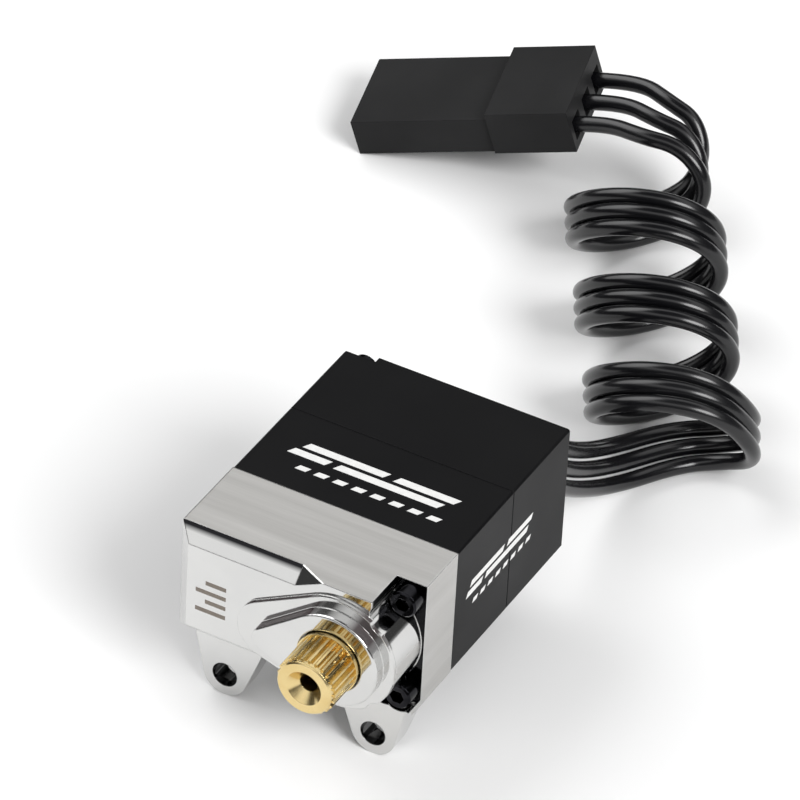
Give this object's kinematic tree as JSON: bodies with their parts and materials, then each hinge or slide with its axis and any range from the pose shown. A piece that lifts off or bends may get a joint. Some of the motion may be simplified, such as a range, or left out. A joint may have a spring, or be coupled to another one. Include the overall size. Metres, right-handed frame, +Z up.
{
  "type": "hobby servo motor",
  "caption": "Small metal-cased hobby servo lying on its side, splined output shaft in a teardrop boss, mounting lugs, geared motor inside, coiled ribbon lead with a plug.",
  "frame": {"origin": "centre of the footprint of the case, its lugs' tips on Z = 0, at the height of the surface that the servo and its lead lie on; the free lead isn't counted", "axes": "X along the case, the output end at +X; -Y out of the case along the output shaft, the lead's exit at +Y; +Z up, away from the lugs"},
  "size_m": [0.0441, 0.0735, 0.0141],
  "materials": {
    "polished_aluminium": "polished front faces, brushed sides",
    "black_anodised": "satin black anodised",
    "black_steel": "black oxide",
    "spline_brass": "machined, pale gold",
    "bearing_steel": "ground",
    "gear_brass": "hobbed",
    "gear_steel": "hobbed",
    "motor_steel": "drawn, nickel plated",
    "moulded_plastic": "matte",
    "ferrite": "sintered",
    "copper_winding": "enamelled copper",
    "contact_tin": "tinned",
    "board": "solder mask",
    "chip_epoxy": "moulded epoxy",
    "wire_rubber": "matte",
    "wire_insulation": "glossy",
    "plug_plastic": "matte",
    "contact_gold": "gold plated"
  },
  "bodies": {
    "case": {"gear_case": "polished_aluminium", "middle_case": "black_anodised", "bottom_case": "black_anodised", "front_case_screws": "black_steel", "rear_case_screws": "black_steel", "upper_bearing_outer_ring": "bearing_steel", "lower_bearing_outer_ring": "bearing_steel", "idler_pin": "bearing_steel", "motor_can": "motor_steel", "motor_end_cap": "moulded_plastic", "motor_bushing": "gear_brass", "motor_magnet": "ferrite", "potentiometer_body": "moulded_plastic", "potentiometer_pins": "contact_tin", "motor_terminals": "contact_tin", "circuit_board": "board", "control_chip": "chip_epoxy", "driver_chip": "chip_epoxy", "capacitor": "chip_epoxy", "cable_grommet": "wire_rubber", "case_wire_1": "wire_insulation", "case_wire_2": "wire_insulation", "case_wire_3": "wire_insulation", "plug_wire_1": "wire_insulation", "plug_wire_2": "wire_insulation", "plug_wire_3": "wire_insulation", "lead_coil": "wire_insulation", "plug_housing": "plug_plastic", "plug_contacts": "contact_gold"},
    "output": {"output_shaft": "spline_brass", "upper_bearing_inner_ring": "bearing_steel", "lower_bearing_inner_ring": "bearing_steel", "potentiometer_rotor": "moulded_plastic"},
    "third_stage": {"third_gear": "gear_steel"},
    "second_stage": {"second_gear": "gear_steel"},
    "first_stage": {"first_gear": "gear_brass"},
    "rotor": {"motor_shaft": "bearing_steel", "motor_pinion": "gear_brass", "motor_winding": "copper_winding"},
    "upper_balls": {"upper_bearing_balls": "bearing_steel"},
    "lower_balls": {"lower_bearing_balls": "bearing_steel"}
  },
  "joints": [
    {"name": "output_spin", "type": "hinge", "parent": "case", "child": "output", "pos_m": [0.0038, -0.008, 0.00925], "axis": [0, -1, 0], "range_deg": [-90, 90]},
    {"name": "third_gear_spin", "type": "hinge", "parent": "case", "child": "third_stage", "pos_m": [-0.0002, -0.008, 0.00925], "axis": [0, -1, 0], "range_deg": [-200, 200]},
    {"name": "second_gear_spin", "type": "hinge", "parent": "case", "child": "second_stage", "pos_m": [0.0038, -0.008, 0.00925], "axis": [0, -1, 0], "range_deg": [-600, 600]},
    {"name": "first_gear_spin", "type": "hinge", "parent": "case", "child": "first_stage", "pos_m": [-0.0002, -0.008, 0.00925], "axis": [0, -1, 0], "range_deg": [-1800, 1800]},
    {"name": "motor_spin", "type": "hinge", "parent": "case", "child": "rotor", "pos_m": [-0.0041, -0.008, 0.00925], "axis": [0, -1, 0], "range_deg": [-5200, 5200]},
    {"name": "upper_bearing_roll", "type": "hinge", "parent": "case", "child": "upper_balls", "pos_m": [0.0038, -0.008, 0.00925], "axis": [0, -1, 0], "range_deg": [-41, 41]},
    {"name": "lower_bearing_roll", "type": "hinge", "parent": "case", "child": "lower_balls", "pos_m": [0.0038, -0.008, 0.00925], "axis": [0, -1, 0], "range_deg": [-37, 37]}
  ],
  "couplings": [
    {"joint": "third_gear_spin", "follows": "output_spin", "ratio": -2.2},
    {"joint": "second_gear_spin", "follows": "output_spin", "ratio": 6.6},
    {"joint": "first_gear_spin", "follows": "output_spin", "ratio": -19.8},
    {"joint": "motor_spin", "follows": "output_spin", "ratio": 57.42},
    {"joint": "upper_bearing_roll", "follows": "output_spin", "ratio": 0.4455},
    {"joint": "lower_bearing_roll", "follows": "output_spin", "ratio": 0.4}
  ]
}
